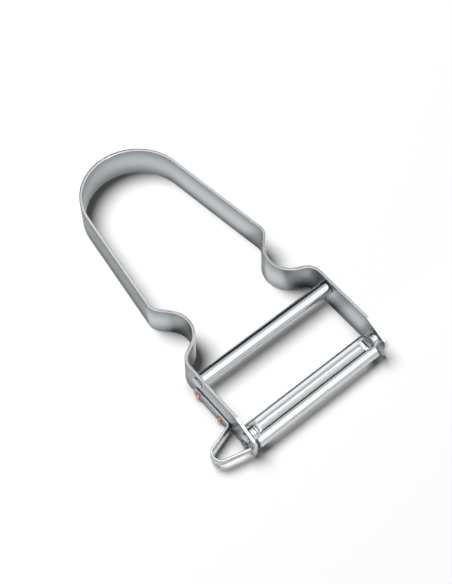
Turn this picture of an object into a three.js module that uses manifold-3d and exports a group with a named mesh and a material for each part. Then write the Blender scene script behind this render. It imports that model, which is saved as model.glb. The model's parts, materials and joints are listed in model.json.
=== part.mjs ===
// A horseshoe vegetable peeler. One steel strip, standing on edge, is bent into the handle and both arms.
// The arms carry a round crossbar and a slotted blade that swivels in two holes near the tips.
// A narrow strip riveted to the left arm bends out into a loop for cutting out potato eyes.
// Millimetres. The peeler lies flat with +Z up, its blade towards -Y and its handle towards +Y.
import * as THREE from 'three';
import { mergeVertices } from 'three/addons/utils/BufferGeometryUtils.js';
import Module from 'manifold-3d';

const wasm = await Module();
wasm.setup();

// Handle strip, with bend radii to the middle of its thickness and angles in degrees
const STRIP_WIDTH = 12;
const STRIP_THICKNESS = 1;
const LOOP_RADIUS = 17.8;
const SIDE_SPLAY = 7.3;
const SIDE_LENGTH = 38;
const SHOULDER_RADIUS = 3.9;
const GROOVE_IN_ANGLE = 41.5;
const GROOVE_IN_LENGTH = 4.6;
const GROOVE_RADIUS = 8;
const GROOVE_OUT_ANGLE = 63.5;
const GROOVE_OUT_LENGTH = 2.7;
const KNEE_RADIUS = 4.9;
const ARM_LENGTH = 30.7;

// Arm tips, tapered along the top edge and rounded at the nose
const TAPER_LENGTH = 9.1;
const TAPER_ANGLE = 22.5;
const NOSE_RADIUS = 2.4;
const TOE_RADIUS = 0.9;

// Crossbar, shouldered at both ends and peened over outside the arms
const CROSSBAR_DIAMETER = 4.8;
const CROSSBAR_TO_PIVOT = 22.25;
const CROSSBAR_BELOW_TOP = 3.7;
const CROSSBAR_ROUNDING = 0.8;
const TENON_DIAMETER = 2.6;
const PEEN_DIAMETER = 3.6;
const PEEN_HEIGHT = 0.35;

// Blade, pressed from sheet: a flat cutting rail, a rolled guide rail, two upright ears and two trunnions
const PIVOT_TO_NOSE = 4.3;
const PIVOT_BELOW_TOP = 5;
const BLADE_THICKNESS = 0.8;
const BLADE_END_PLAY = 1.9;
const END_BRIDGE = 2.7;
const RAIL_DROP = 1.2;
const RAIL_BACK = 4.1;
const RAIL_EDGE = 0.7;
const RAIL_LIP_RADIUS = 0.7;
const EDGE_BEVEL = 1;
const EDGE_LAND = 0.1;
const GUIDE_RADIUS = 2.35;
const GUIDE_AHEAD = 1.7;
const GUIDE_DROP = 3.9;
const GUIDE_BACK_ANGLE = 25;
const GUIDE_FRONT_ANGLE = 100;
const EAR_RADIUS = 2.5;
const COLLAR_RADIUS = 2.2;
const TRUNNION_DIAMETER = 3.3;
const TRUNNION_STICK_OUT = 0.5;

// Stop pins, one through each arm, that the swinging blade meets at both ends of its travel
const PIN_BEHIND_PIVOT = 0.45;
const PIN_BELOW_PIVOT = 4.8;
const PIN_DIAMETER = 1.2;
const PIN_REACH = 3;
const PIN_HEAD_DIAMETER = 2.5;
const PIN_HEAD_HEIGHT = 0.8;

// Eye remover, a narrow strip that lies along the left arm and then loops out beside the tip
const EYE_STRIP_WIDTH = 4;
const EYE_STRIP_THICKNESS = 0.7;
const EYE_STRIP_LIFT = 0.8;
const EYE_TAIL_MARGIN = 2;
const EYE_HEEL_DISTANCE = 3;
const EYE_HEEL_RADIUS = 1.2;
const EYE_HEEL_TURN = 73;
const EYE_OUT_LENGTH = 7.5;
const EYE_BEND_RADIUS = 2.8;
const EYE_BEND_TURN = 149;
const EYE_LOOP_SLOPE = 8.5;

// Copper rivets through the eye remover and the left arm
const RIVET_TO_PIVOT = 11;
const RIVET_PITCH = 10.1;
const RIVET_DIAMETER = 1.4;
const RIVET_HEAD_DIAMETER = 2;
const RIVET_HEAD_HEIGHT = 0.7;
const RIVET_TAIL_HEIGHT = 0.3;

// Clearances: flat seats, shanks in their holes, the eye loop's free end, and what the turning blade passes
const SEAT_GAP = 0.1;
const SHANK_GAP = 0.15;
const LOOP_END_GAP = 0.3;
const PIVOT_GAP = 0.3;
const COLLAR_GAP = 0.3;

// Facets, and how close two points have to be to count as one
const FACET_ANGLE = 6;
const ROUND_SEGMENTS = 24;
const DOME_STEPS = 3;
const SAME_POINT = 1e-4;

const radians = THREE.MathUtils.degToRad;

// Follows straights and bends in a plane from a start point; a positive turn bends to the left.
// Every stop keeps its place and the direction to its left.
function walk(start, heading, steps) {
  const stops = [];
  const place = start.clone();
  let angle = radians(heading);
  const left = () => new THREE.Vector2(-Math.sin(angle), Math.cos(angle));
  const stop = () => stops.push({ place: place.clone(), left: left() });
  stop();
  for (const { straight = 0, radius = 0, turn = 0 } of steps) {
    if (straight > 0) {
      place.add(new THREE.Vector2(Math.cos(angle), Math.sin(angle)).multiplyScalar(straight));
      stop();
    }
    const pieces = Math.ceil(Math.abs(turn) / FACET_ANGLE);
    const side = Math.sign(turn) * radius;
    for (let piece = 0; piece < pieces; piece += 1) {
      const centre = place.clone().addScaledVector(left(), side);
      angle += radians(turn) / pieces;
      place.copy(centre).addScaledVector(left(), -side);
      stop();
    }
  }
  return stops;
}

function offset(stops, distance) {
  return stops.map(({ place, left }) => place.clone().addScaledVector(left, distance));
}

function sheetShape(stops, thickness) {
  const right = offset(stops, -thickness / 2).reverse();
  return new THREE.Shape([...offset(stops, thickness / 2), ...right]);
}

function extrude(shape, depth) {
  return new THREE.ExtrudeGeometry(shape, { depth, bevelEnabled: false, curveSegments: ROUND_SEGMENTS / 4 });
}

// A section drawn in Y and Z, run along X from one place to another
function alongX(shape, from, to) {
  const geometry = extrude(shape, to - from);
  const axes = [new THREE.Vector3(0, 1, 0), new THREE.Vector3(0, 0, 1), new THREE.Vector3(1, 0, 0)];
  geometry.applyMatrix4(new THREE.Matrix4().makeBasis(...axes));
  return geometry.translate(from, 0, 0);
}

// A round bar along X from a profile of [radius, x] pairs
function turned(profile) {
  const points = profile.map(([radius, x]) => new THREE.Vector2(radius, x));
  return new THREE.LatheGeometry(points, ROUND_SEGMENTS).rotateZ(-Math.PI / 2);
}

function roundBar(radius, from, to, y, z) {
  const geometry = turned([[0, from], [radius, from], [radius, to], [0, to]]);
  return geometry.translate(0, y, z);
}

// Points of a domed head that rises from x = base to x = top, ending on the axis
function dome(radius, base, top) {
  return Array.from({ length: DOME_STEPS + 1 }, (_, step) => {
    const angle = (step / DOME_STEPS) * (Math.PI / 2);
    const reach = step === DOME_STEPS ? 0 : radius * Math.cos(angle);
    return [reach, base + (top - base) * Math.sin(angle)];
  });
}

function solid(geometry) {
  const bare = new THREE.BufferGeometry();
  bare.setAttribute('position', geometry.getAttribute('position').clone());
  if (geometry.index) {
    bare.setIndex(geometry.index.clone());
  }
  const merged = mergeVertices(bare, SAME_POINT);
  const vertProperties = Float32Array.from(merged.getAttribute('position').array);
  const triVerts = Uint32Array.from(merged.index.array);
  return new wasm.Manifold(new wasm.Mesh({ numProp: 3, vertProperties, triVerts }));
}

function joined(geometries) {
  return geometries.map(solid).reduce((whole, next) => whole.add(next));
}

function cut(body, geometries) {
  return geometries.map(solid).reduce((rest, tool) => rest.subtract(tool), body);
}

function toGeometry(body) {
  const { vertProperties, triVerts } = body.getMesh();
  const geometry = new THREE.BufferGeometry();
  geometry.setAttribute('position', new THREE.BufferAttribute(vertProperties, 3));
  geometry.setIndex(new THREE.BufferAttribute(triVerts, 1));
  geometry.computeVertexNormals();
  return geometry;
}

function piece(name, geometry, color, roughness) {
  const material = new THREE.MeshStandardMaterial({ color, roughness, metalness: 1 });
  const mesh = new THREE.Mesh(geometry, material);
  mesh.name = name;
  return mesh;
}

// The right half of the handle strip, from the top of the loop to the arm's tip
const halfStrip = walk(new THREE.Vector2(0, 0), 0, [
  { radius: LOOP_RADIUS, turn: SIDE_SPLAY - 90 },
  { straight: SIDE_LENGTH },
  { radius: SHOULDER_RADIUS, turn: -(SIDE_SPLAY + GROOVE_IN_ANGLE) },
  { straight: GROOVE_IN_LENGTH },
  { radius: GROOVE_RADIUS, turn: GROOVE_IN_ANGLE + GROOVE_OUT_ANGLE },
  { straight: GROOVE_OUT_LENGTH },
  { radius: KNEE_RADIUS, turn: -GROOVE_OUT_ANGLE },
  { straight: ARM_LENGTH },
]);

// Places that the other pieces are set out from
const nose = halfStrip[halfStrip.length - 1].place;
const armInside = nose.x - STRIP_THICKNESS / 2;
const armOutside = nose.x + STRIP_THICKNESS / 2;
const pivotY = nose.y + PIVOT_TO_NOSE;
const pivotZ = STRIP_WIDTH - PIVOT_BELOW_TOP;
const crossbarY = pivotY + CROSSBAR_TO_PIVOT;
const crossbarZ = STRIP_WIDTH - CROSSBAR_BELOW_TOP;
const rivetY = [pivotY + RIVET_TO_PIVOT, pivotY + RIVET_TO_PIVOT + RIVET_PITCH];
const rivetZ = EYE_STRIP_LIFT + EYE_STRIP_WIDTH / 2;
const eyeInside = armOutside + SEAT_GAP;
const eyeOutside = eyeInside + EYE_STRIP_THICKNESS;

// The blade's section is drawn about its pivot axis: Y runs back from the pivot and Z up from it.
// At each end a bridge joins the cutting rail to the rear edge of the guide rail.
const halfSheet = BLADE_THICKNESS / 2;
const railMiddle = -RAIL_DROP - halfSheet;
const guideMiddle = GUIDE_RADIUS - halfSheet;
const bridgeStart = new THREE.Vector2(RAIL_EDGE + halfSheet, railMiddle);
const bridgeEnd = new THREE.Vector2(
  guideMiddle * Math.sin(radians(GUIDE_BACK_ANGLE)) - GUIDE_AHEAD,
  guideMiddle * Math.cos(radians(GUIDE_BACK_ANGLE)) - GUIDE_DROP,
);
const bridgeRun = bridgeEnd.clone().sub(bridgeStart);
const bridgeHeading = THREE.MathUtils.radToDeg(bridgeRun.angle());
const bridgeStops = walk(bridgeStart, bridgeHeading, [{ straight: bridgeRun.length() }]);

// The stop pins stand below the pivot, between the guide rail and the lip of the cutting rail
const pinY = pivotY + PIN_BEHIND_PIVOT;
const pinZ = pivotZ - PIN_BELOW_PIVOT;

function handleStrip() {
  const mirrored = (points) => points.map(({ x, y }) => new THREE.Vector2(-x, y));
  const outer = offset(halfStrip, STRIP_THICKNESS / 2);
  const inner = offset(halfStrip, -STRIP_THICKNESS / 2);
  const outline = [
    ...outer,
    ...inner.slice(1).reverse(),
    ...mirrored(inner),
    ...mirrored(outer).slice(1).reverse(),
  ];
  const strip = solid(extrude(new THREE.Shape(outline), STRIP_WIDTH));

  // Seen from the side, the strip is a long bar with its front end tapered and rounded
  const taper = radians(TAPER_ANGLE);
  const noseTop = STRIP_WIDTH - TAPER_LENGTH * Math.tan(taper);
  const tangent = NOSE_RADIUS * Math.tan((Math.PI / 2 - taper) / 2);
  const back = STRIP_THICKNESS;
  const side = new THREE.Shape();
  side.moveTo(back, 0);
  side.lineTo(back, STRIP_WIDTH);
  side.lineTo(nose.y + TAPER_LENGTH, STRIP_WIDTH);
  side.absarc(nose.y + NOSE_RADIUS, noseTop - tangent, NOSE_RADIUS, Math.PI / 2 + taper, Math.PI);
  side.absarc(nose.y + TOE_RADIUS, TOE_RADIUS, TOE_RADIUS, Math.PI, Math.PI * 1.5);
  const body = strip.intersect(solid(alongX(side, -2 * armOutside, 2 * armOutside)));

  const through = (diameter, gap, y, z, arm) => {
    const ends = [armInside - STRIP_THICKNESS, armOutside + STRIP_THICKNESS].map((x) => arm * x);
    return roundBar(diameter / 2 + gap, Math.min(...ends), Math.max(...ends), y, z);
  };
  const holes = [-1, 1].flatMap((arm) => [
    through(TENON_DIAMETER, SHANK_GAP, crossbarY, crossbarZ, arm),
    through(TRUNNION_DIAMETER, PIVOT_GAP, pivotY, pivotZ, arm),
    through(PIN_DIAMETER, SHANK_GAP, pinY, pinZ, arm),
  ]);
  holes.push(...rivetY.map((y) => through(RIVET_DIAMETER, SHANK_GAP, y, rivetZ, -1)));
  return piece('handle_strip', toGeometry(cut(body, holes)), 0x9ea3a5, 0.35);
}

function crossbar() {
  const shoulder = armInside - SEAT_GAP;
  const head = armOutside + SEAT_GAP;
  const radius = CROSSBAR_DIAMETER / 2;
  const tenon = TENON_DIAMETER / 2;
  const rounding = Math.min(CROSSBAR_ROUNDING, radius - tenon);
  const roundedEdge = dome(1, 0, 1).slice(0, -1).map(([across, along]) => [
    radius - rounding * (1 - across),
    shoulder - rounding * (1 - along),
  ]);
  const end = [
    ...roundedEdge,
    [radius - rounding, shoulder],
    [tenon, shoulder],
    [tenon, head],
    ...dome(PEEN_DIAMETER / 2, head, head + PEEN_HEIGHT),
  ];
  const start = end.map(([across, along]) => [across, -along]).reverse();
  const mesh = piece('crossbar', turned([...start, ...end]), 0xc9cdcf, 0.12);
  mesh.position.set(0, crossbarY, crossbarZ);
  return mesh;
}

function blade() {
  const bladeEnd = armInside - BLADE_END_PLAY;

  const lipStart = new THREE.Vector2(RAIL_BACK - halfSheet, railMiddle - RAIL_LIP_RADIUS);
  const railFlat = RAIL_BACK - halfSheet - RAIL_LIP_RADIUS - RAIL_EDGE;
  const rail = sheetShape(walk(lipStart, 90, [
    { radius: RAIL_LIP_RADIUS, turn: 90 },
    { straight: railFlat },
  ]), BLADE_THICKNESS);
  const railTop = -RAIL_DROP;
  const bevel = new THREE.Shape([
    new THREE.Vector2(RAIL_EDGE + EDGE_BEVEL, railTop),
    new THREE.Vector2(RAIL_EDGE, railTop - BLADE_THICKNESS + EDGE_LAND),
    new THREE.Vector2(RAIL_EDGE - EDGE_BEVEL, railTop - BLADE_THICKNESS + EDGE_LAND),
    new THREE.Vector2(RAIL_EDGE - EDGE_BEVEL, railTop + EDGE_BEVEL),
    new THREE.Vector2(RAIL_EDGE + EDGE_BEVEL, railTop + EDGE_BEVEL),
  ]);

  const guide = sheetShape(walk(bridgeEnd, 180 - GUIDE_BACK_ANGLE, [
    { radius: guideMiddle, turn: GUIDE_BACK_ANGLE + GUIDE_FRONT_ANGLE },
  ]), BLADE_THICKNESS);
  const bridge = sheetShape(bridgeStops, BLADE_THICKNESS);

  const ear = new THREE.Shape();
  ear.absarc(0, 0, EAR_RADIUS, 0, Math.PI);
  ear.lineTo(-GUIDE_AHEAD - halfSheet, guideMiddle - GUIDE_DROP);
  ear.lineTo(bridgeEnd.x, bridgeEnd.y);
  ear.lineTo(RAIL_EDGE, railMiddle);
  ear.lineTo(RAIL_BACK - BLADE_THICKNESS, railMiddle);

  const sharpRail = cut(solid(alongX(rail, -bladeEnd, bladeEnd)), [
    alongX(bevel, END_BRIDGE - bladeEnd, bladeEnd - END_BRIDGE),
  ]);
  const earInside = bladeEnd - BLADE_THICKNESS;
  const collarEnd = armInside - COLLAR_GAP;
  const trunnion = TRUNNION_DIAMETER / 2;
  const trunnionEnd = armOutside + TRUNNION_STICK_OUT;
  const mirrorEnds = (from, to) => [[from, to], [-to, -from]];
  const body = joined([
    alongX(guide, -bladeEnd, bladeEnd),
    ...mirrorEnds(bladeEnd - END_BRIDGE, bladeEnd).map(([from, to]) => alongX(bridge, from, to)),
    ...mirrorEnds(earInside, bladeEnd).map(([from, to]) => alongX(ear, from, to)),
    ...mirrorEnds(earInside, collarEnd).map(([from, to]) => roundBar(COLLAR_RADIUS, from, to, 0, 0)),
    ...mirrorEnds(earInside, trunnionEnd).map(([from, to]) => roundBar(trunnion, from, to, 0, 0)),
  ]);
  const mesh = piece('blade', toGeometry(body.add(sharpRail)), 0xd3d6d8, 0.1);
  mesh.position.set(0, pivotY, pivotZ);
  return mesh;
}

function eyeRemover() {
  const tailY = rivetY[1] + EYE_TAIL_MARGIN;
  const tailLength = tailY - rivetY[0] + EYE_HEEL_DISTANCE;
  const start = new THREE.Vector2(-(eyeInside + eyeOutside) / 2, tailY);
  const steps = [
    { straight: tailLength },
    { radius: EYE_HEEL_RADIUS, turn: -EYE_HEEL_TURN },
    { straight: EYE_OUT_LENGTH },
    { radius: EYE_BEND_RADIUS, turn: EYE_BEND_TURN },
  ];
  const loop = walk(start, -90, steps);
  const bendEnd = loop[loop.length - 1];
  const backHeading = radians(EYE_BEND_TURN - EYE_HEEL_TURN - 90);
  const endCorner = (EYE_STRIP_THICKNESS / 2) * Math.abs(Math.sin(backHeading));
  const backRun = -armOutside - LOOP_END_GAP - endCorner - bendEnd.place.x;
  steps.push({ straight: backRun / Math.cos(backHeading) });
  const flat = sheetShape(walk(start, -90, steps), EYE_STRIP_THICKNESS);
  const strip = solid(extrude(flat, EYE_STRIP_WIDTH).translate(0, 0, EYE_STRIP_LIFT));

  // From the heel forward, the loop's lower edge rises from the surface that the peeler lies on
  const heelY = tailY - tailLength;
  const slopeRun = heelY - nose.y;
  const underLoop = alongX(new THREE.Shape([
    new THREE.Vector2(heelY, EYE_STRIP_LIFT),
    new THREE.Vector2(nose.y, EYE_STRIP_LIFT + slopeRun * Math.tan(radians(EYE_LOOP_SLOPE))),
    new THREE.Vector2(nose.y, 0),
    new THREE.Vector2(heelY, 0),
  ]), -2 * armOutside, 0);
  const holeRadius = RIVET_DIAMETER / 2 + SHANK_GAP;
  const holeEnds = [-eyeOutside - EYE_STRIP_THICKNESS, -eyeInside + EYE_STRIP_THICKNESS];
  const holes = rivetY.map((y) => roundBar(holeRadius, ...holeEnds, y, rivetZ));
  return piece('eye_remover', toGeometry(cut(strip, [...holes, underLoop])), 0xb4b8ba, 0.25);
}

// A rivet along X with its domed head towards -X, on the outside of the left arm
function rivet(name, y) {
  const headBase = -eyeOutside - SEAT_GAP;
  const tailBase = -armInside + SEAT_GAP;
  const shank = RIVET_DIAMETER / 2;
  const head = dome(RIVET_HEAD_DIAMETER / 2, headBase, headBase - RIVET_HEAD_HEIGHT).reverse();
  const tail = dome(RIVET_HEAD_DIAMETER / 2, tailBase, tailBase + RIVET_TAIL_HEIGHT);
  const mesh = piece(name, turned([...head, [shank, headBase], [shank, tailBase], ...tail]), 0xc8734f, 0.3);
  mesh.position.set(0, y, rivetZ);
  return mesh;
}

// A stop pin along X with its domed head outside the arm, turned about for the left arm
function stopPin(name, arm) {
  const headBase = armOutside + SEAT_GAP;
  const tip = armInside - PIN_REACH;
  const shank = PIN_DIAMETER / 2;
  const head = dome(PIN_HEAD_DIAMETER / 2, headBase, headBase + PIN_HEAD_HEIGHT);
  const mesh = piece(name, turned([[0, tip], [shank, tip], [shank, headBase], ...head]), 0x8f9496, 0.3);
  mesh.position.set(0, pinY, pinZ);
  mesh.rotation.z = arm > 0 ? 0 : Math.PI;
  return mesh;
}

const peeler = new THREE.Group();
peeler.add(
  handleStrip(),
  crossbar(),
  blade(),
  eyeRemover(),
  rivet('rivet_front', rivetY[0]),
  rivet('rivet_rear', rivetY[1]),
  stopPin('stop_pin_left', -1),
  stopPin('stop_pin_right', 1),
);

// The origin is under the middle of the peeler's box, on the surface that it lies on
const reach = new THREE.Box3().setFromObject(peeler, true);
const middle = reach.getCenter(new THREE.Vector3());
peeler.position.set(-middle.x, -middle.y, -reach.min.z);

export default peeler;
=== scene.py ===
import json
import math

import bmesh
import bpy
from mathutils import Matrix, Vector


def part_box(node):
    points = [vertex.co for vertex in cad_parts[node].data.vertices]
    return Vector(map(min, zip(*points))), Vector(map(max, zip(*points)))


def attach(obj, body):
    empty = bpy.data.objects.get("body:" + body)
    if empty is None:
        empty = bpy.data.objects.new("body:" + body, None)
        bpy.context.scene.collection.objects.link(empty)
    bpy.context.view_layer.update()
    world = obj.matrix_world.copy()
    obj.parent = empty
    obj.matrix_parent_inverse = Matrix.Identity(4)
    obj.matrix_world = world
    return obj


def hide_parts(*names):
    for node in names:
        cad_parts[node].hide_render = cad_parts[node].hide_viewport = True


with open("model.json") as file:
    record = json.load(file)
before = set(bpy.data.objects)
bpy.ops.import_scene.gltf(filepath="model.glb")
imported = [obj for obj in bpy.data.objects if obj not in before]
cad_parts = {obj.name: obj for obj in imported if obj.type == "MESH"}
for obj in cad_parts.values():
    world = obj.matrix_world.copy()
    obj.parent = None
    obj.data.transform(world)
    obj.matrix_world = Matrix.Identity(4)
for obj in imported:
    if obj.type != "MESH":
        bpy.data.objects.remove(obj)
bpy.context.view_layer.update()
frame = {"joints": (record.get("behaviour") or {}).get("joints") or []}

# Handle strip
# One strip of stainless steel, 12 mm wide and 1 mm thick, stands on edge and is bent cold into the
# handle loop, the two finger grooves and the two arms. The blank was sheared and drilled while flat,
# then tumbled, which rounded its edges and left a soft satin skin.
MM = 0.001
STRIP_WIDTH = 12.0
STRIP_THICKNESS = 1.0
STRIP_EDGE_ROUNDING = 0.2
LOOP_RADIUS = 17.8
SIDE_SPLAY = 7.3
SIDE_LENGTH = 38.0
SHOULDER_RADIUS = 3.9
GROOVE_IN_ANGLE = 41.5
GROOVE_IN_LENGTH = 4.6
GROOVE_RADIUS = 8.0
GROOVE_OUT_ANGLE = 63.5
GROOVE_OUT_LENGTH = 2.7
KNEE_RADIUS = 4.9
ARM_LENGTH = 30.7
TAPER_LENGTH = 9.1
TAPER_ANGLE = math.radians(22.5)
NOSE_RADIUS = 2.4
TOE_RADIUS = 0.9
BEND_STEP = 1.5
EDGE_STEPS = 4
ROUND_STEPS = 64


def walk(place, heading, runs):
    """The (place, left) stops along (straight, radius, turn) runs; a positive turn goes left."""
    stops = []
    angle = math.radians(heading)

    def left():
        return Vector((-math.sin(angle), math.cos(angle)))

    stops.append((place.copy(), left()))
    for straight, radius, turn in runs:
        if straight:
            place = place + Vector((math.cos(angle), math.sin(angle))) * straight
            stops.append((place.copy(), left()))
        pieces = math.ceil(abs(turn) / BEND_STEP)
        side = math.copysign(radius, turn)
        for _ in range(pieces):
            centre = place + left() * side
            angle += math.radians(turn) / pieces
            place = centre - left() * side
            stops.append((place.copy(), left()))
    return stops


def arc(centre, radius, start, end, steps):
    """Points on a round stretch, from one angle to another in degrees."""
    angles = [math.radians(start + (end - start) * step / steps) for step in range(steps + 1)]
    return [Vector(centre) + radius * Vector((math.cos(angle), math.sin(angle))) for angle in angles]


def loft(rings):
    """A closed body through rings of points in millimetres, each with as many points as the next."""
    body = bmesh.new()
    rows = [[body.verts.new(point * MM) for point in ring] for ring in rings]
    for near, far in zip(rows, rows[1:]):
        for here in range(len(near)):
            there = (here + 1) % len(near)
            body.faces.new((near[here], near[there], far[there], far[here]))
    body.faces.new(rows[0])
    body.faces.new(rows[-1])
    bmesh.ops.recalc_face_normals(body, faces=body.faces)
    return body


def turned(profile, place):
    """A round body along X from [radius, x] pairs, about an axis through place."""
    rings = []
    for radius, x in profile:
        circle = arc((0, 0), radius, 0, 360, ROUND_STEPS)[:-1]
        rings.append([place + Vector((x, point.x, point.y)) for point in circle])
    return loft(rings)


def gather(bodies):
    """One mesh from several bodies."""
    whole = bmesh.new()
    for body in bodies:
        part = bpy.data.meshes.new("part")
        body.to_mesh(part)
        body.free()
        whole.from_mesh(part)
        bpy.data.meshes.remove(part)
    mesh = bpy.data.meshes.new("gathered")
    whole.to_mesh(mesh)
    whole.free()
    return mesh


def combine(mesh, tools, operation):
    """The mesh with the tool bodies cut out of it or joined to it."""
    base = bpy.data.objects.new("base", mesh)
    tool = bpy.data.objects.new("tool", gather(tools))
    for holder in (base, tool):
        bpy.context.scene.collection.objects.link(holder)
    step = base.modifiers.new("combine", "BOOLEAN")
    step.object = tool
    step.operation = operation
    step.solver = "EXACT"
    step.use_self = True
    shaped = base.evaluated_get(bpy.context.evaluated_depsgraph_get())
    result = bpy.data.meshes.new_from_object(shaped)
    for holder in (base, tool):
        bpy.data.objects.remove(holder)
    return result


SHARP_ANGLE = math.radians(32)
FLAT_WEIGHT = 100


def show(name, mesh, material, slot, body, *nodes):
    """Shows a mesh as the piece for the given solids; it throws no bright spots on the floor."""
    mesh.materials.clear()
    mesh.materials.append(material)
    mesh.polygons.foreach_set("use_smooth", [True] * len(mesh.polygons))
    mesh.set_sharp_from_angle(angle=SHARP_ANGLE)
    thing = bpy.data.objects.new(name, mesh)
    bpy.context.scene.collection.objects.link(thing)
    flats = thing.modifiers.new("flats stay flat", "WEIGHTED_NORMAL")
    flats.keep_sharp = True
    flats.weight = FLAT_WEIGHT
    thing.visible_diffuse = False
    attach(thing, body)
    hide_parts(*nodes)


def linear(code):
    """An sRGB hex colour as linear values."""
    channels = [int(code[start:start + 2], 16) / 255 for start in (1, 3, 5)]
    return [c / 12.92 if c <= 0.04045 else ((c + 0.055) / 1.055) ** 2.4 for c in channels] + [1.0]


def add_node(tree, kind, sockets=None, **settings):
    """Adds a node with its settings, its sockets' values and the links into them."""
    node = tree.nodes.new(kind)
    for name, value in settings.items():
        setattr(node, name, value)
    for name, value in (sockets or {}).items():
        if isinstance(value, bpy.types.NodeSocket):
            tree.links.new(value, node.inputs[name])
        else:
            node.inputs[name].default_value = value
    return node


GRAIN_DETAIL = 4.0
GRAIN_LOW = 0.3
GRAIN_HIGH = 0.7


def steel(name, colour, roughness, spread, grain_mm, relief_mm):
    """Bare metal whose roughness and relief vary over a grain with sizes along X, Y and Z."""
    material = bpy.data.materials.new(name)
    material.use_nodes = True
    tree = material.node_tree
    shader = tree.nodes["Principled BSDF"]
    shader.inputs["Base Color"].default_value = linear(colour)
    shader.inputs["Metallic"].default_value = 1.0
    place = add_node(tree, "ShaderNodeTexCoord")
    stretch = add_node(tree, "ShaderNodeMapping", {
        "Vector": place.outputs["Object"],
        "Scale": [1 / (size * MM) for size in grain_mm],
    })
    grain = add_node(tree, "ShaderNodeTexNoise", {
        "Vector": stretch.outputs["Vector"],
        "Scale": 1.0,
        "Detail": GRAIN_DETAIL,
    })
    rough = add_node(tree, "ShaderNodeMapRange", {
        "Value": grain.outputs["Fac"],
        "From Min": GRAIN_LOW,
        "From Max": GRAIN_HIGH,
        "To Min": roughness - spread,
        "To Max": roughness + spread,
    })
    bump = add_node(tree, "ShaderNodeBump", {
        "Height": grain.outputs["Fac"],
        "Strength": 1.0,
        "Distance": relief_mm * MM,
    })
    tree.links.new(rough.outputs["Result"], shader.inputs["Roughness"])
    tree.links.new(bump.outputs["Normal"], shader.inputs["Normal"])
    return material


strip_low, strip_high = (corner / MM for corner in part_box("handle_strip"))
strip_top = Vector(((strip_low.x + strip_high.x) / 2, strip_high.y - STRIP_THICKNESS / 2))
half_strip = walk(strip_top, 0, [
    (0, LOOP_RADIUS, SIDE_SPLAY - 90),
    (SIDE_LENGTH, SHOULDER_RADIUS, -(SIDE_SPLAY + GROOVE_IN_ANGLE)),
    (GROOVE_IN_LENGTH, GROOVE_RADIUS, GROOVE_IN_ANGLE + GROOVE_OUT_ANGLE),
    (GROOVE_OUT_LENGTH, KNEE_RADIUS, -GROOVE_OUT_ANGLE),
])
knee_end = half_strip[-1][0]
nose_y = knee_end.y - ARM_LENGTH
arm_x = knee_end.x - strip_top.x
arm_inside = arm_x - STRIP_THICKNESS / 2
arm_outside = arm_x + STRIP_THICKNESS / 2

# Seen from the side, an arm's tip is tapered along the top, with a round nose and a round toe
nose_top = STRIP_WIDTH - TAPER_LENGTH * math.tan(TAPER_ANGLE)
nose_centre = nose_top - NOSE_RADIUS * math.tan((math.pi / 2 - TAPER_ANGLE) / 2)
nose_start = NOSE_RADIUS * (1 - math.sin(TAPER_ANGLE))


def below_round(radius, distance):
    """How far a round end of that radius has dropped off at a distance from its tip."""
    return radius - math.sqrt(max(radius ** 2 - (radius - min(distance, radius)) ** 2, 0))


def tip_height(distance):
    """The lowest and highest point of an arm at a distance from its nose."""
    low = below_round(TOE_RADIUS, distance)
    if distance >= nose_start:
        slope = max(TAPER_LENGTH - distance, 0) * math.tan(TAPER_ANGLE)
        return low, STRIP_WIDTH - slope
    return low, nose_centre + NOSE_RADIUS - below_round(NOSE_RADIUS, distance)


def strip_ring(place, left, low, high, thickness, rounding):
    """A cut across a strip that stands on edge, with its corners rounded."""
    half = thickness / 2 - rounding
    corners = [(half, high - rounding, 0), (-half, high - rounding, 90),
               (-half, low + rounding, 180), (half, low + rounding, 270)]
    points = []
    for across, height, start in corners:
        for point in arc((across, height), rounding, start, start + 90, EDGE_STEPS):
            flat = place + left * point.x
            points.append(Vector((flat.x, flat.y, point.y)))
    return points


TIP_STEPS = 14
CORNER_STEP = 0.01
tip_distances = [TAPER_LENGTH + CORNER_STEP, TAPER_LENGTH - CORNER_STEP]
tip_distances += [nose_start * (1 - step / TIP_STEPS) ** 2 for step in range(TIP_STEPS)]
right_rings = []
for place, left in half_strip:
    right_rings.append(strip_ring(place, left, 0, STRIP_WIDTH, STRIP_THICKNESS, STRIP_EDGE_ROUNDING))
for distance in tip_distances:
    place = Vector((knee_end.x, nose_y + distance))
    low, high = tip_height(distance)
    thin = STRIP_THICKNESS - 2 * below_round(STRIP_EDGE_ROUNDING, distance)
    rounding = min(STRIP_EDGE_ROUNDING, thin * STRIP_EDGE_ROUNDING)
    right_rings.append(strip_ring(place, Vector((1, 0)), low, high, thin, rounding))


def mirrored(ring):
    """The same cut on the other half of the strip."""
    return [Vector((2 * strip_top.x - point.x, point.y, point.z)) for point in ring]


strip_body = loft([mirrored(ring) for ring in reversed(right_rings[1:])] + right_rings)


def axis_place(box):
    """Where the axis of a round solid with that box crosses the middle of the peeler."""
    middle = (box[0] + box[1]) / 2 / MM
    return Vector((strip_top.x, middle.y, middle.z))


# Places of the crossbar, the rivets and the stop pins, from the solids, and of the pivot, from its joint
bar_place = axis_place(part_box("crossbar"))
rivet_nodes = ["rivet_front", "rivet_rear"]
rivet_places = [axis_place(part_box(node)) for node in rivet_nodes]
pin_place = axis_place(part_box("stop_pin_right"))
pivot_place = Vector(frame["joints"][0]["pos_m"]) / MM

TENON_RADIUS = 1.3
PIVOT_HOLE_RADIUS = 1.95
PIN_RADIUS = 0.6
RIVET_RADIUS = 0.7
HOLE_GAP = 0.1


def drill(radius, place, side):
    """A cutter through one arm."""
    ends = sorted([side * (arm_inside - STRIP_THICKNESS), side * (arm_outside + STRIP_THICKNESS)])
    return turned([(radius, ends[0]), (radius, ends[1])], place)


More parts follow.
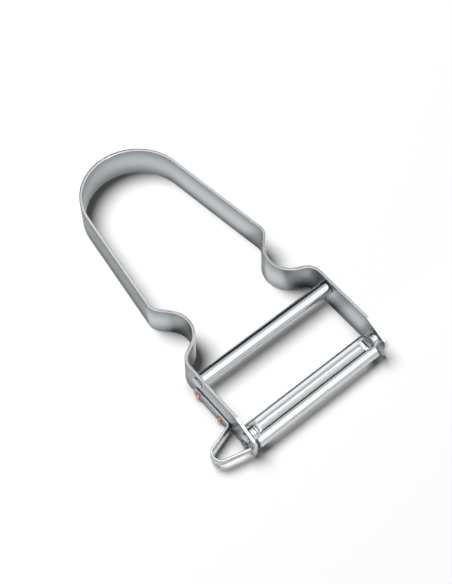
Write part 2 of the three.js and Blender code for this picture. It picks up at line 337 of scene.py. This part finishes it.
drills = []
for side in (-1, 1):
    drills.append(drill(TENON_RADIUS + HOLE_GAP, bar_place, side))
    drills.append(drill(PIVOT_HOLE_RADIUS, pivot_place, side))
    drills.append(drill(PIN_RADIUS + HOLE_GAP, pin_place, side))
for place in rivet_places:
    drills.append(drill(RIVET_RADIUS + HOLE_GAP, place, -1))
strip_mesh = combine(gather([strip_body]), drills, "DIFFERENCE")

# Cold-rolled stainless, tumbled: a soft sheen with faint rolling streaks. Painted shade makes the face
# colour darker towards the strip's bottom and top, and a painted highlight lightens the faces that look
# up, which are also given a lower roughness.
# The real streaks are hundredths of a millimetre wide and are drawn coarser here, to show.
STAINLESS = "#c4c9cb"
satin_stainless = steel("tumbled stainless steel, painted shade and highlight", STAINLESS, roughness=0.25, spread=0.02,
                        grain_mm=(6.0, 6.0, 0.5), relief_mm=0.001)
tree = satin_stainless.node_tree
place = add_node(tree, "ShaderNodeTexCoord")
height = add_node(tree, "ShaderNodeSeparateXYZ", {"Vector": place.outputs["Object"]})
painted_shade_height_share = add_node(tree, "ShaderNodeMapRange", {
    "Value": height.outputs["Z"],
    "From Max": STRIP_WIDTH * MM,
})
# Painted shade: the face colour is darkest at the bottom and top of the strip, lightest across its middle
painted_shade_ramp = add_node(tree, "ShaderNodeValToRGB", {"Fac": painted_shade_height_share.outputs["Result"]})
painted_shade_ramp.color_ramp.interpolation = "B_SPLINE"
painted_shade_ramp.color_ramp.elements[0].color = linear("#8c9295")
painted_shade_ramp.color_ramp.elements[1].color = linear("#83898c")
painted_shade_ramp.color_ramp.elements.new(0.35).color = linear("#d0d5d7")
painted_shade_ramp.color_ramp.elements.new(0.65).color = linear("#ccd1d3")

# How far a face looks up where the painted highlight starts and where it is full. The Mix node's
# sockets go by number, because several of them share a name.
UPWARD_HIGHLIGHT_START = 0.3
UPWARD_HIGHLIGHT_FULL = 0.6
VALUE_A, VALUE_B, VALUE_OUT = 2, 3, 0
COLOUR_A, COLOUR_B, COLOUR_OUT = 6, 7, 2


def paint_upward_highlight_and_polish(tree, face_colour, highlight_colour, roughness):
    """Paints a lighter colour as a highlight on the faces that look up, and gives them their own
    roughness.
    """
    shader = tree.nodes["Principled BSDF"]
    place = add_node(tree, "ShaderNodeTexCoord")
    upright = add_node(tree, "ShaderNodeSeparateXYZ", {"Vector": place.outputs["Normal"]})
    highlight_share = add_node(tree, "ShaderNodeMapRange", {
        "Value": upright.outputs["Z"],
        "From Min": UPWARD_HIGHLIGHT_START,
        "From Max": UPWARD_HIGHLIGHT_FULL,
    })
    colour = add_node(tree, "ShaderNodeMix", {
        "Factor": highlight_share.outputs["Result"],
        COLOUR_A: face_colour,
        COLOUR_B: linear(highlight_colour),
    }, data_type="RGBA")
    rough = add_node(tree, "ShaderNodeMix", {
        "Factor": highlight_share.outputs["Result"],
        VALUE_A: shader.inputs["Roughness"].links[0].from_socket,
        VALUE_B: roughness,
    })
    tree.links.new(colour.outputs[COLOUR_OUT], shader.inputs["Base Color"])
    tree.links.new(rough.outputs[VALUE_OUT], shader.inputs["Roughness"])


# Painted highlight: the faces that look up are lighter, and smoother
paint_upward_highlight_and_polish(tree, painted_shade_ramp.outputs["Color"], "#e4e8ea", roughness=0.12)
show("handle_strip_satin", strip_mesh, satin_stainless, "strip_steel", "frame", "handle_strip")

# Crossbar
# A round bar of stainless steel, turned and polished bright. It is shouldered at both ends, and its
# tenons pass through the arms and are peened over outside, which holds the arms apart.
BAR_RADIUS = 2.4
BAR_ROUNDING = 0.45
PEEN_RADIUS = 2.1
PEEN_HEIGHT = 0.35
PEEN_RIM = 0.5
PEEN_DISH = 0.22
SEAT_GAP = 0.1
DOME_STEPS = 8
TIP_RADIUS = 0.02


def dome(radius, base, top):
    """[radius, x] pairs of a domed end, from its rim to its tip."""
    angles = [step / DOME_STEPS * math.pi / 2 for step in range(DOME_STEPS + 1)]
    return [(max(radius * math.cos(a), TIP_RADIUS), base + (top - base) * math.sin(a)) for a in angles]


shoulder = arm_inside - SEAT_GAP
head = arm_outside + SEAT_GAP
shoulder_edge = arc((BAR_RADIUS - BAR_ROUNDING, shoulder - BAR_ROUNDING), BAR_ROUNDING, 0, 90, DOME_STEPS)
bar_end = [(point.x, point.y) for point in shoulder_edge]
bar_end += [(TENON_RADIUS, shoulder), (TENON_RADIUS, head)]
peen_middle = PEEN_RADIUS - PEEN_RIM
bar_end += [(peen_middle + radius, x) for radius, x in dome(PEEN_RIM, head, head + PEEN_HEIGHT)]
bar_end += dome(peen_middle, head + PEEN_HEIGHT, head + PEEN_HEIGHT - PEEN_DISH)
bar_start = [(radius, -x) for radius, x in reversed(bar_end)]
bar_mesh = gather([turned(bar_start + bar_end, bar_place)])

# Polished stainless: a clear reflection of the lights, with hair lines from the polishing belt
# that run round the bar.
bright_bar = steel("polished stainless steel bar", "#d3d8da", roughness=0.09, spread=0.02,
                   grain_mm=(0.4, 9.0, 9.0), relief_mm=0.001)
show("crossbar_polished", bar_mesh, bright_bar, "bar_steel", "frame", "crossbar")

# Blade
# One pressing of hardened steel sheet, 0.8 mm thick: a flat cutting rail with a hollow-ground edge
# along the slot, and a guide rail rolled down in front of it. At each end a bridge joins the two
# rails, and an upright ear carries a collar and the trunnion that turns in the arm's hole.
BLADE_THICKNESS = 0.8
BLADE_END_PLAY = 1.9
END_BRIDGE = 2.7
RAIL_DROP = 1.2
RAIL_BACK = 4.1
RAIL_EDGE = 0.7
RAIL_LIP_RADIUS = 0.7
RAIL_FALL = 0.1
EDGE_BEVEL = 1.0
EDGE_LAND = 0.1
BEVEL_RUN_OUT = 0.8
LEAST_BEVEL = 0.02
HOLLOW_STEPS = 6
LIP_STEPS = 6
RAIL_GROOVE_AT = 2.1
RAIL_GROOVE_WIDTH = 0.8
RAIL_GROOVE_DEPTH = 0.045
GUIDE_RADIUS = 2.35
GUIDE_AHEAD = 1.7
GUIDE_DROP = 3.9
GUIDE_BACK_ANGLE = 25.0
GUIDE_FRONT_ANGLE = 100.0
SLOT_FILLET = 0.8
EAR_RADIUS = 2.5
EAR_ROUNDING = 0.35
EAR_BEND = 2.4
COLLAR_RADIUS = 2.2
COLLAR_GAP = 0.3
COLLAR_ROUNDING = 0.4
TRUNNION_RADIUS = 1.65
TRUNNION_STICK_OUT = 0.5
half_sheet = BLADE_THICKNESS / 2
blade_end = arm_inside - BLADE_END_PLAY
slot_end = blade_end - END_BRIDGE


def across(outline, x):
    """Points drawn in Y and Z about the pivot, set at a place along X."""
    return [pivot_place + Vector((x, point[0], point[1])) for point in outline]


# Cutting rail: the lip curls down behind, the top falls a little to the front to a shallow rolled
# groove, and the ground bevel runs out round at both ends of the slot
lip_centre = (RAIL_BACK - half_sheet - RAIL_LIP_RADIUS, -RAIL_DROP - half_sheet - RAIL_LIP_RADIUS)


def rail_outline(share):
    """The rail's section with that share of the ground bevel."""
    bevel = max(share, LEAST_BEVEL) * EDGE_BEVEL
    top = -RAIL_DROP - share * RAIL_FALL
    fall = max(share, LEAST_BEVEL) * (BLADE_THICKNESS - EDGE_LAND - RAIL_FALL)
    points = arc(lip_centre, RAIL_LIP_RADIUS - half_sheet, 90, 0, LIP_STEPS)
    points += arc(lip_centre, RAIL_LIP_RADIUS + half_sheet, 0, 90, 2 * LIP_STEPS)
    for step in range(2 * HOLLOW_STEPS + 1):
        along = step / (2 * HOLLOW_STEPS)
        dip = share * RAIL_GROOVE_DEPTH * math.sin(math.pi * along) ** 2
        points.append(Vector((RAIL_GROOVE_AT + RAIL_GROOVE_WIDTH * (0.5 - along), top - dip)))
    for step in range(1, HOLLOW_STEPS + 1):
        down = step / HOLLOW_STEPS
        points.append(Vector((RAIL_EDGE + bevel * (1 - down), top - fall * down * (2 - down))))
    points.append(Vector((RAIL_EDGE, -RAIL_DROP - BLADE_THICKNESS)))
    return points


RUN_OUT_STEPS = 8
rail_stops = [(blade_end, 0.0), (slot_end, 0.0)]
for step in range(1, RUN_OUT_STEPS + 1):
    along = step / RUN_OUT_STEPS
    rail_stops.append((slot_end - along * BEVEL_RUN_OUT, math.sqrt(1 - (1 - along) ** 2)))
rail_rings = [across(rail_outline(share), -x) for x, share in rail_stops]
rail_rings += [across(rail_outline(share), x) for x, share in reversed(rail_stops)]
rail_body = loft(rail_rings)

# Guide rail: a stretch of round wall, open below
GUIDE_STEPS = 40
GUIDE_BORE_STEPS = 30
guide_centre = (-GUIDE_AHEAD, -GUIDE_DROP)
guide_start = 90 - GUIDE_BACK_ANGLE
guide_finish = 90 + GUIDE_FRONT_ANGLE
guide_outline = arc(guide_centre, GUIDE_RADIUS, guide_start, guide_finish, GUIDE_STEPS)
guide_bore = GUIDE_RADIUS - BLADE_THICKNESS
guide_outline += arc(guide_centre, guide_bore, guide_finish, guide_start, GUIDE_BORE_STEPS)
guide_body = loft([across(guide_outline, -blade_end), across(guide_outline, blade_end)])

# Bridges: flat sheet from the rail's front edge to the guide's rear edge, filleted into both
guide_middle = GUIDE_RADIUS - half_sheet
bridge_start = Vector((RAIL_EDGE + half_sheet, -RAIL_DROP - half_sheet))
bridge_finish = arc(guide_centre, guide_middle, guide_start, guide_start, 1)[0]
bridge_run = bridge_finish - bridge_start
bridge_length = bridge_run.length
bridge_along = bridge_run.normalized()
bridge_up = Vector((bridge_along.y, -bridge_along.x))
FILLET_STEPS = 6
fillet = arc((slot_end - SLOT_FILLET, SLOT_FILLET), SLOT_FILLET, -90, 0, FILLET_STEPS)
fillets = [(point.x, point.y) for point in fillet]
bridge_edge = fillets + [(x, bridge_length - along) for x, along in reversed(fillets)]
bridge_flat = bridge_edge + [(blade_end, bridge_length), (blade_end, 0.0)]


def bridge(side):
    """One bridge, for the end at that side."""
    rings = []
    for lift in (-half_sheet, half_sheet):
        ring = []
        for x, along in bridge_flat:
            point = bridge_start + bridge_along * along + bridge_up * lift
            ring.append(pivot_place + Vector((side * x, point.x, point.y)))
        rings.append(ring)
    return loft(rings)


# Ears, each bent up from the sheet in a small round, with collars and trunnions
EAR_STEPS = 36
ear_outline = arc((0, 0), EAR_RADIUS, 0, 180, EAR_STEPS)
ear_outline += [Vector((-GUIDE_AHEAD - half_sheet, guide_middle - GUIDE_DROP)), bridge_finish]
ear_outline += [Vector((y, bridge_start.y)) for y in (RAIL_EDGE, RAIL_BACK - BLADE_THICKNESS)]
ear_inside = blade_end - BLADE_THICKNESS
ear_stops = []
for point in arc((0, 0), EAR_ROUNDING, 180, 90, EDGE_STEPS):
    size = 1 - (EAR_ROUNDING - point.y) / EAR_RADIUS
    ear_stops.append((ear_inside + EAR_ROUNDING + point.x, [corner * size for corner in ear_outline]))
ear_stops += [(ear_inside + blade_end - x, outline) for x, outline in reversed(ear_stops)]
collar_end = arm_inside - COLLAR_GAP
trunnion_end = arm_outside + TRUNNION_STICK_OUT


def rounded_stud(radius, rounding, end, side):
    """A round stud from the ear to an end with its edge rounded."""
    edge = arc((radius - rounding, end - rounding), rounding, 0, 90, DOME_STEPS)
    profile = [(radius, ear_inside + SEAT_GAP)] + [(point.x, point.y) for point in edge]
    return turned([(across_axis, side * x) for across_axis, x in profile], pivot_place)


# Places from front to back along an ear, with the share of its bend's radius there
EAR_BEND_STOPS = ((-1.4, 0.15), (-0.2, 1.0), (1.1, 1.0), (2.15, 1.0))


def ear_bend(side):
    """The inner round between the sheet and an ear, which gets smaller towards the front."""
    rings = []
    for y, share in EAR_BEND_STOPS:
        radius = share * EAR_BEND
        sheet = -RAIL_DROP + min(y - bridge_start.x, 0) * bridge_along.y / bridge_along.x
        below = sheet - half_sheet
        back = ear_inside + half_sheet
        start = ear_inside - radius
        points = arc((start, sheet + radius), radius, -90, 0, DOME_STEPS)
        points += [Vector((back, sheet + radius)), Vector((back, below)), Vector((start, below))]
        rings.append([pivot_place + Vector((side * point.x, y, point.y)) for point in points])
    return loft(rings)


blade_parts = [guide_body]
for side in (-1, 1):
    blade_parts.append(bridge(side))
    blade_parts.append(ear_bend(side))
    blade_parts.append(loft([across(outline, side * x) for x, outline in ear_stops]))
    blade_parts.append(rounded_stud(COLLAR_RADIUS, COLLAR_ROUNDING, collar_end, side))
    blade_parts.append(rounded_stud(TRUNNION_RADIUS, COLLAR_ROUNDING, trunnion_end, side))
blade_mesh = combine(gather([rail_body]), blade_parts, "UNION")

# Hardened steel, polished after pressing: nearly as bright as the bar, with hair lines along its length
bright_blade = steel("polished blade steel", "#d3d8da", roughness=0.12, spread=0.03,
                     grain_mm=(12.0, 0.3, 0.3), relief_mm=0.001)
show("blade_polished", blade_mesh, bright_blade, "blade_steel", "blade", "blade")

# Eye remover
# A narrow strip of the same stainless, laid along the outside of the left arm under two rivets. Past
# the front rivet it bends away from the arm, round the end of a loop and back to the arm's tip.
EYE_WIDTH = 4.0
EYE_THICKNESS = 0.7
EYE_EDGE_ROUNDING = 0.2
EYE_LIFT = 0.8
EYE_TAIL_MARGIN = 2.0
EYE_HEEL_DISTANCE = 3.0
EYE_HEEL_RADIUS = 1.2
EYE_HEEL_TURN = 73.0
EYE_OUT_LENGTH = 7.5
EYE_BEND_RADIUS = 2.8
EYE_BEND_TURN = 149.0
EYE_LOOP_SLOPE = math.radians(8.5)
LOOP_END_GAP = 0.3
eye_inside = arm_outside + SEAT_GAP
eye_outside = eye_inside + EYE_THICKNESS
eye_tail = Vector((strip_top.x - (eye_inside + eye_outside) / 2, rivet_places[1].y + EYE_TAIL_MARGIN))
eye_runs = [
    (eye_tail.y - rivet_places[0].y + EYE_HEEL_DISTANCE, EYE_HEEL_RADIUS, -EYE_HEEL_TURN),
    (EYE_OUT_LENGTH, EYE_BEND_RADIUS, EYE_BEND_TURN),
]
bend_end = walk(eye_tail, -90, eye_runs)[-1][0]
back_heading = math.radians(EYE_BEND_TURN - EYE_HEEL_TURN - 90)
end_corner = EYE_THICKNESS / 2 * abs(math.sin(back_heading))
back_reach = strip_top.x - arm_outside - LOOP_END_GAP - end_corner - bend_end.x
eye_runs.append((back_reach / math.cos(back_heading), 0, 0))
eye_heel = rivet_places[0].y - EYE_HEEL_DISTANCE
eye_rings = []
for place, left in walk(eye_tail, -90, eye_runs):
    low = EYE_LIFT + max(eye_heel - place.y, 0) * math.tan(EYE_LOOP_SLOPE)
    eye_rings.append(strip_ring(place, left, low, EYE_LIFT + EYE_WIDTH, EYE_THICKNESS, EYE_EDGE_ROUNDING))
eye_drills = []
for place in rivet_places:
    ends = (-eye_outside - EYE_THICKNESS, -eye_inside + EYE_THICKNESS)
    eye_drills.append(turned([(RIVET_RADIUS + HOLE_GAP, x) for x in ends], place))
eye_mesh = combine(gather([loft(eye_rings)]), eye_drills, "DIFFERENCE")

# Tumbled stainless again: one even satin grey, with a painted highlight, a little lighter, on the edges
# that look up
narrow_stainless = steel("tumbled stainless narrow strip, painted highlight", STAINLESS, roughness=0.24, spread=0.03,
                         grain_mm=(4.0, 4.0, 0.4), relief_mm=0.002)
paint_upward_highlight_and_polish(narrow_stainless.node_tree, linear(STAINLESS), "#d3d8da", roughness=0.2)
show("eye_remover_satin", eye_mesh, narrow_stainless, "eye_steel", "frame", "eye_remover")

# Rivets
# Two round-headed copper rivets, set cold through the eye remover and the left arm. Their heads are
# outside, and their tails are formed low inside.
RIVET_HEAD_RADIUS = 1.0
RIVET_HEAD_HEIGHT = 0.7
RIVET_TAIL_HEIGHT = 0.3

# Drawn copper, hammered once: warm and slightly dull, with small dents from the setting tool
set_copper = steel("cold set copper", "#f0a88b", roughness=0.3, spread=0.06,
                   grain_mm=(0.5, 0.5, 0.5), relief_mm=0.02)
head_base = -eye_outside - SEAT_GAP
tail_base = -arm_inside + SEAT_GAP
rivet_profile = list(reversed(dome(RIVET_HEAD_RADIUS, head_base, head_base - RIVET_HEAD_HEIGHT)))
rivet_profile += [(RIVET_RADIUS, head_base), (RIVET_RADIUS, tail_base)]
rivet_profile += dome(RIVET_HEAD_RADIUS, tail_base, tail_base + RIVET_TAIL_HEIGHT)
for node, place in zip(rivet_nodes, rivet_places):
    rivet_mesh = gather([turned(rivet_profile, place)])
    show(node + "_copper", rivet_mesh, set_copper, "rivet_copper", "frame", node)

# Stop pins
# Two headed steel pins, pressed through the arms below the pivots, so that the blade's guide rail
# and the lip of its cutting rail meet them at the ends of its swing.
PIN_REACH = 3.0
PIN_HEAD_RADIUS = 1.25
PIN_HEAD_HEIGHT = 0.8

# Upset steel, left as it came from the press: greyer than the strip
dull_steel = steel("upset steel pin", "#9fa5a8", roughness=0.28, spread=0.05,
                   grain_mm=(0.6, 0.6, 0.6), relief_mm=0.01)
pin_end = arm_inside - PIN_REACH
pin_profile = [(TIP_RADIUS, pin_end), (PIN_RADIUS, pin_end), (PIN_RADIUS, head)]
pin_profile += dome(PIN_HEAD_RADIUS, head, head + PIN_HEAD_HEIGHT)
for node, side in (("stop_pin_left", -1), ("stop_pin_right", 1)):
    profile = pin_profile if side > 0 else [(radius, -x) for radius, x in reversed(pin_profile)]
    pin_mesh = gather([turned(profile, pin_place)])
    show(node + "_steel", pin_mesh, dull_steel, "pin_steel", "frame", node)

# Floor
# A sheet of matt white card, much larger than the view. For the camera it lies in three strips, under
# the blade, under the crossbar and under the handle loop, so that each can have its own lamp. One
# more sheet, a hair lower, is the floor that the metal mirrors. Sizes of the set are in metres.
FLOOR_SIZE = 6.0
BAR_FLOOR_FRONT = -0.042
BAR_FLOOR_REAR = -0.023
MIRRORED_FLOOR_DROP = 0.00005
half_floor = FLOOR_SIZE / 2

# Matt card: no sheen at all, so that only the shadows show on it
matt_card = bpy.data.materials.new("matt white card")
matt_card.use_nodes = True
shader = matt_card.node_tree.nodes["Principled BSDF"]
shader.inputs["Base Color"].default_value = linear("#fafafa")
shader.inputs["Roughness"].default_value = 1.0
shader.inputs["Specular IOR Level"].default_value = 0.0


def stage_sheet(name, corners, material):
    """A flat sheet of the set, which throws no shadow and no light on other sheets."""
    mesh = bpy.data.meshes.new(name)
    mesh.from_pydata(corners, [], [(0, 1, 2, 3)])
    mesh.materials.append(material)
    thing = bpy.data.objects.new(name, mesh)
    bpy.context.scene.collection.objects.link(thing)
    thing.visible_shadow = False
    thing.visible_diffuse = False
    return thing


def floor_sheet(name, front, rear):
    """A sheet of the floor, right across the set."""
    ends = [(-half_floor, front), (half_floor, front), (half_floor, rear), (-half_floor, rear)]
    return stage_sheet(name, [(x, y, 0) for x, y in ends], matt_card)


blade_floor = floor_sheet("blade_floor", -half_floor, BAR_FLOOR_FRONT)
bar_floor = floor_sheet("bar_floor", BAR_FLOOR_FRONT, BAR_FLOOR_REAR)
loop_floor = floor_sheet("loop_floor", BAR_FLOOR_REAR, half_floor)
floors = (blade_floor, bar_floor, loop_floor)
for sheet in floors:
    sheet.visible_glossy = False
mirrored_floor = floor_sheet("mirrored_floor", -half_floor, half_floor)
mirrored_floor.location.z = -MIRRORED_FLOOR_DROP
mirrored_floor.visible_camera = False

# Light
# Each strip of the floor has a large soft lamp that lights nothing else. A small lamp in front and a
# dim one to the rear light the metal and the floor that it mirrors. The metal also mirrors white
# cards, overhead, behind, in front and at both sides, in a dim room.
LAMP_DISTANCE = 2.0


def alone(sheet):
    """A lamp's list of what it lights, with one sheet on it."""
    listed = bpy.data.collections.new(sheet.name + "_alone")
    listed.objects.link(sheet)
    return listed


# On this list the floors are left out, so its lamps light everything else
all_but_floors = bpy.data.collections.new("all_but_floors")
for sheet in floors:
    all_but_floors.objects.link(sheet)
for linked in all_but_floors.collection_objects:
    linked.light_linking.link_state = "EXCLUDE"


def soft_lamp(name, lean_x, lean_y, size, power, lights_up):
    """A round lamp that faces the peeler; it leans from overhead by so much per unit of height."""
    data = bpy.data.lights.new(name, "AREA")
    data.shape = "DISK"
    data.size = size
    data.energy = power
    lamp = bpy.data.objects.new(name, data)
    way = Vector((lean_x, lean_y, 1)).normalized()
    lamp.location = way * LAMP_DISTANCE
    lamp.rotation_mode = "QUATERNION"
    lamp.rotation_quaternion = way.to_track_quat("Z", "Y")
    lamp.light_linking.receiver_collection = lights_up
    bpy.context.scene.collection.objects.link(lamp)


soft_lamp("overhead_lamp", lean_x=-0.1, lean_y=0.1, size=1.5, power=45.9, lights_up=alone(bar_floor))
soft_lamp("rear_lamp", lean_x=-0.05, lean_y=0.54, size=1.4, power=52.6, lights_up=alone(blade_floor))
soft_lamp("loop_lamp", lean_x=-0.19, lean_y=0.46, size=1.2, power=49.3, lights_up=alone(loop_floor))
soft_lamp("front_lamp", lean_x=0.2, lean_y=-0.75, size=0.4, power=25.0, lights_up=all_but_floors)
soft_lamp("fill_lamp", lean_x=-0.05, lean_y=0.4, size=0.9, power=16.5, lights_up=all_but_floors)


def white_card(name, corners, level):
    """A lit card that shows only in the metal; gives its material."""
    lit = bpy.data.materials.new("lit " + name)
    lit.use_nodes = True
    shader = lit.node_tree.nodes["Principled BSDF"]
    shader.inputs["Base Color"].default_value = linear("#000000")
    shader.inputs["Emission Color"].default_value = linear("#ffffff")
    shader.inputs["Emission Strength"].default_value = level
    stage_sheet(name, corners, lit).visible_camera = False
    return lit


CARD_LEFT = -0.5
CARD_RIGHT = 1.4
ROOM_LEFT = -1.2
CARD_HEIGHT = 0.8
CARD_REAR = 0.62
CARD_FADE = -0.16
CARD_FRONT = -1.4
CARD_LEVEL = 1.35
REAR_CARD_FRONT = 0.38
REAR_CARD_REAR = 0.64
REAR_CARD_HEIGHT = 0.79


def level_card(front, rear, height):
    """The corners of a card that lies level over the set."""
    ends = [(CARD_LEFT, front), (CARD_LEFT, rear), (CARD_RIGHT, rear), (CARD_RIGHT, front)]
    return [(x, y, height) for x, y in ends]


def side_card(x):
    """The corners of a card that stands at one side of the set."""
    ends = [(CARD_FRONT, CARD_HEIGHT), (CARD_REAR, CARD_HEIGHT), (CARD_REAR, 0.0), (CARD_FRONT, 0.0)]
    return [(x, y, height) for y, height in ends]


overhead_corners = level_card(CARD_FRONT, CARD_REAR, CARD_HEIGHT)
tree = white_card("overhead_card", overhead_corners, CARD_LEVEL).node_tree
place = add_node(tree, "ShaderNodeTexCoord")
depth = add_node(tree, "ShaderNodeSeparateXYZ", {"Vector": place.outputs["Object"]})
fade = add_node(tree, "ShaderNodeMapRange", {
    "Value": depth.outputs["Y"],
    "From Min": CARD_FADE,
    "From Max": CARD_REAR,
    "To Min": CARD_LEVEL,
    "To Max": 0.0,
}, interpolation_type="SMOOTHSTEP")
tree.links.new(fade.outputs["Result"], tree.nodes["Principled BSDF"].inputs["Emission Strength"])
white_card("rear_strip", level_card(REAR_CARD_FRONT, REAR_CARD_REAR, REAR_CARD_HEIGHT), level=0.75)
white_card("left_card", side_card(ROOM_LEFT), level=0.35)
white_card("right_card", side_card(CARD_RIGHT), level=0.45)
front_ends = [(CARD_LEFT, CARD_HEIGHT), (CARD_RIGHT, CARD_HEIGHT), (CARD_RIGHT, 0.0), (CARD_LEFT, 0.0)]
white_card("front_card", [(x, CARD_FRONT, height) for x, height in front_ends], level=0.65)

ROOM_LEVEL = 0.045
world = bpy.data.worlds.new("room")
world.use_nodes = True
bpy.context.scene.world = world
background = world.node_tree.nodes["Background"]
background.inputs["Color"].default_value = linear("#ffffff")
background.inputs["Strength"].default_value = ROOM_LEVEL

# Camera
# The photograph's view: from the front left, looking down at the peeler, which lies turned to the
# right. The place and the lens were fitted to the edges of the strip in the photograph.
CAMERA_EYE = Vector((-116.1, -152.8, 324.5))
CAMERA_AZIMUTH = math.radians(40.16)
CAMERA_ELEVATION = math.radians(59.28)
CAMERA_ROLL = math.radians(0.39)
LENS_LENGTH = 72.85
SENSOR_WIDTH = 36.0
NEAREST_VIEW = 0.01
camera_data = bpy.data.cameras.new("camera")
camera_data.lens = LENS_LENGTH
camera_data.sensor_width = SENSOR_WIDTH
camera_data.clip_start = NEAREST_VIEW
camera = bpy.data.objects.new("camera", camera_data)
turn = Matrix.Rotation(-CAMERA_AZIMUTH, 4, "Z") @ Matrix.Rotation(math.pi / 2 - CAMERA_ELEVATION, 4, "X")
turn = turn @ Matrix.Rotation(CAMERA_ROLL, 4, "Z")
camera.matrix_world = Matrix.Translation(CAMERA_EYE * MM) @ turn
bpy.context.scene.collection.objects.link(camera)
bpy.context.scene.camera = camera
bpy.context.scene.view_settings.view_transform = "Standard"
